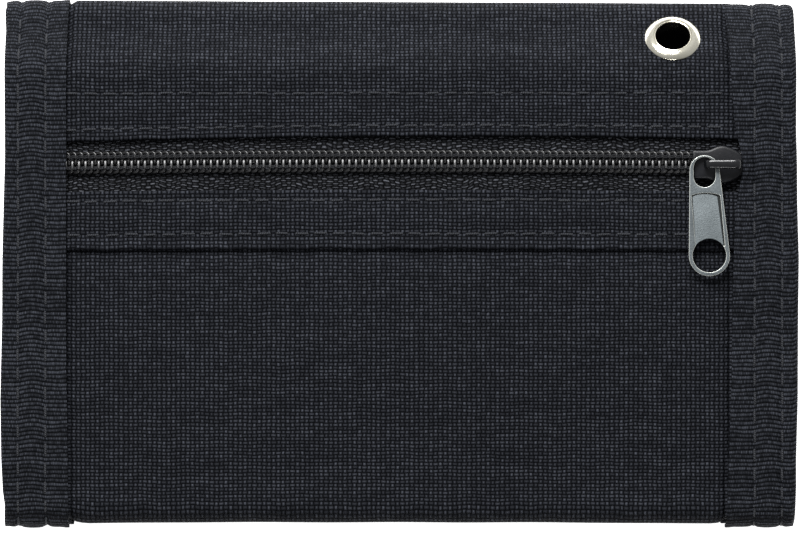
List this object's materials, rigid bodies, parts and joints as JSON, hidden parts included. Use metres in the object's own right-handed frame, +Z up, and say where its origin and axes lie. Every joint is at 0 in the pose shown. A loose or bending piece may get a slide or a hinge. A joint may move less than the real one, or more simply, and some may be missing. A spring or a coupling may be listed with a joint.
{
  "type": "zippered wallet",
  "caption": "Black woven-fabric wallet that folds in two, with a zipped coin pocket across its front face, bound side edges and a metal eyelet near the fold.",
  "frame": {"origin": "middle of the closed wallet, on the surface it lies on", "axes": "+Z up, out of the zipped face; +X along the zip towards its closed end; +Y towards the fold"},
  "size_m": [0.13, 0.086, 0.0185],
  "materials": {
    "oxford": "matt black plain-weave oxford cloth with a faint sheen on the yarns",
    "binding_tape": "black grosgrain tape, ribs across the tape",
    "thread": "black twisted polyester thread",
    "lining": "thin black nylon lining, slightly shiny",
    "pocket": "fine black nylon pocket cloth",
    "zip_tape": "black woven zip tape",
    "zip_coil": "glossy black nylon coil",
    "stop_metal": "dark crimped metal",
    "loop_tape": "black brushed loop pile",
    "hook_tape": "black hook tape",
    "eyelet_metal": "polished nickel plate, slightly warm",
    "clear_film": "clear flexible vinyl",
    "slider_metal": "black satin paint on a die-cast slider",
    "pull_metal": "satin gunmetal grey with brighter worn edges"
  },
  "bodies": {
    "front_half": {"upper_panel": "oxford", "lower_panel": "oxford", "lower_band": "oxford", "zip_tape_upper": "zip_tape", "zip_tape_lower": "zip_tape", "zip_coil_upper": "zip_coil", "zip_coil_lower": "zip_coil", "zip_end_stops": "stop_metal", "coin_pocket_lining": "lining", "front_lining": "lining", "card_pocket_1": "pocket", "card_pocket_2": "pocket", "card_pocket_3": "pocket", "loop_strip": "loop_tape", "eyelet_barrel": "eyelet_metal", "eyelet_washer": "eyelet_metal", "binding_left_front": "binding_tape", "binding_right_front": "binding_tape", "inner_binding_front": "binding_tape", "face_stitching": "thread", "binding_stitching_front": "thread"},
    "back_half": {"back_panel": "oxford", "back_lining": "lining", "id_backing": "pocket", "id_film": "clear_film", "id_frame": "pocket", "hook_strip": "hook_tape", "binding_left_back": "binding_tape", "binding_right_back": "binding_tape", "inner_binding_back": "binding_tape", "binding_stitching_back": "thread"},
    "slider": {"slider_body": "slider_metal", "slider_bridge": "slider_metal"},
    "pull": {"pull_tab": "pull_metal"}
  },
  "joints": [
    {"name": "fold", "type": "hinge", "parent": "front_half", "child": "back_half", "pos_m": [0, 0.0432, 0.007], "axis": [1, 0, 0], "range_deg": [0, 180]},
    {"name": "slider_travel", "type": "slide", "parent": "front_half", "child": "slider", "axis": [-1, 0, 0], "range_m": [0, 0.1]},
    {"name": "pull_swing", "type": "hinge", "parent": "slider", "child": "pull", "pos_m": [0.0501, 0.01635, 0.0169], "axis": [0, 0, 1], "range_deg": [-90, 40]}
  ]
}
